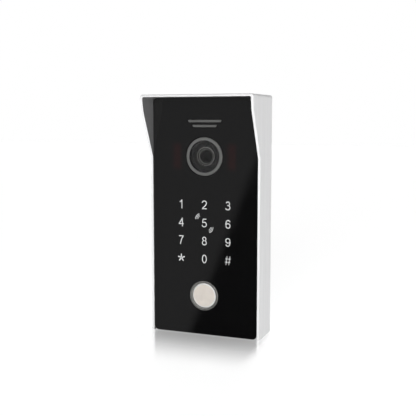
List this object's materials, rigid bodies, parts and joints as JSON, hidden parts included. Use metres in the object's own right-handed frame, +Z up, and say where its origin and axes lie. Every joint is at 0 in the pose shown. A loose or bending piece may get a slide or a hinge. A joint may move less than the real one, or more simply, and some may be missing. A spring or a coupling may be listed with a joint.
{
  "type": "door intercom panel",
  "caption": "Wall-mounted video door station: black glass touch keypad, camera, infrared lamps, speaker bars and a metal call button under a folded metal rain hood.",
  "frame": {"origin": "on the wall face of the rain hood's back plate, behind the middle of the front panel", "axes": "+X to a visitor's right, +Y out of the back into the wall, +Z up"},
  "size_m": [0.0882, 0.047, 0.1834],
  "materials": {
    "hood_metal": "satin silver powder coat outside, dark grey inside the visor",
    "panel_black": "polished black acrylic, printed on its back",
    "seal_rubber": "matt black foam and rubber",
    "frame_plastic": "black moulded plastic",
    "housing_plastic": "dark grey moulded plastic",
    "screw_steel": "zinc-plated steel",
    "button_steel": "satin stainless steel with a bright bevel",
    "trim_metal": "grey satin paint",
    "window_clear": "clear polished acrylic and coated glass",
    "lamp_resin": "dark infrared-pass resin",
    "circuit_board": "green solder mask on glass-fibre board",
    "copper_foil": "lacquered copper",
    "diffuser_acrylic": "milky light guide",
    "ferrite": "plated magnet cup",
    "cone_paper": "treated paper diaphragm",
    "terminal_green": "green moulded terminal body"
  },
  "bodies": {
    "station": {"rain_hood": "hood_metal", "front_glass": "panel_black", "panel_gasket": "seal_rubber", "housing_seal": "seal_rubber", "button_seal": "seal_rubber", "speaker_gasket": "seal_rubber", "microphone_boot": "seal_rubber", "front_frame": "frame_plastic", "lens_holder": "frame_plastic", "lens_barrel": "frame_plastic", "switch_body": "frame_plastic", "lock_relay": "frame_plastic", "board_connector": "frame_plastic", "processor_chip": "frame_plastic", "rear_housing": "housing_plastic", "speaker_frame": "housing_plastic", "image_sensor": "housing_plastic", "housing_screw_1": "screw_steel", "housing_screw_2": "screw_steel", "housing_screw_3": "screw_steel", "housing_screw_4": "screw_steel", "camera_screw_left": "screw_steel", "camera_screw_right": "screw_steel", "keypad_screw_1": "screw_steel", "keypad_screw_2": "screw_steel", "board_screw_1": "screw_steel", "board_screw_2": "screw_steel", "button_spring": "screw_steel", "button_nut": "screw_steel", "microphone": "screw_steel", "button_bezel": "button_steel", "security_screw": "button_steel", "camera_ring": "trim_metal", "speaker_grille_upper": "trim_metal", "speaker_grille_lower": "trim_metal", "camera_window": "window_clear", "front_lens": "window_clear", "ir_lamp_1": "lamp_resin", "ir_lamp_2": "lamp_resin", "ir_lamp_3": "lamp_resin", "ir_lamp_4": "lamp_resin", "ir_lamp_5": "lamp_resin", "ir_lamp_6": "lamp_resin", "camera_board": "circuit_board", "ir_board_left": "circuit_board", "ir_board_right": "circuit_board", "keypad_board": "circuit_board", "main_board": "circuit_board", "rfid_antenna": "copper_foil", "camera_cable": "copper_foil", "light_diffuser": "diffuser_acrylic", "speaker_magnet": "ferrite", "terminal_block": "terminal_green"},
    "call_button": {"call_button": "button_steel", "stem_clip": "screw_steel"},
    "switch_plunger": {"switch_plunger": "housing_plastic"},
    "speaker_cone": {"speaker_cone": "cone_paper"}
  },
  "joints": [
    {"name": "call_button_press", "type": "slide", "parent": "station", "child": "call_button", "axis": [0, 1, 0], "range_m": [0, 0.0012], "stiffness_N_per_m": 1500, "springref_m": -0.0008, "deforming": ["button_spring"]},
    {"name": "switch_plunger_slide", "type": "slide", "parent": "station", "child": "switch_plunger", "axis": [0, 1, 0], "range_m": [0, 0.0012]},
    {"name": "speaker_cone_slide", "type": "slide", "parent": "station", "child": "speaker_cone", "axis": [0, -1, 0], "range_m": [-0.0003, 0.0003], "stiffness_N_per_m": 1500}
  ],
  "couplings": [
    {"joint": "switch_plunger_slide", "follows": "call_button_press", "ratio": 1}
  ]
}
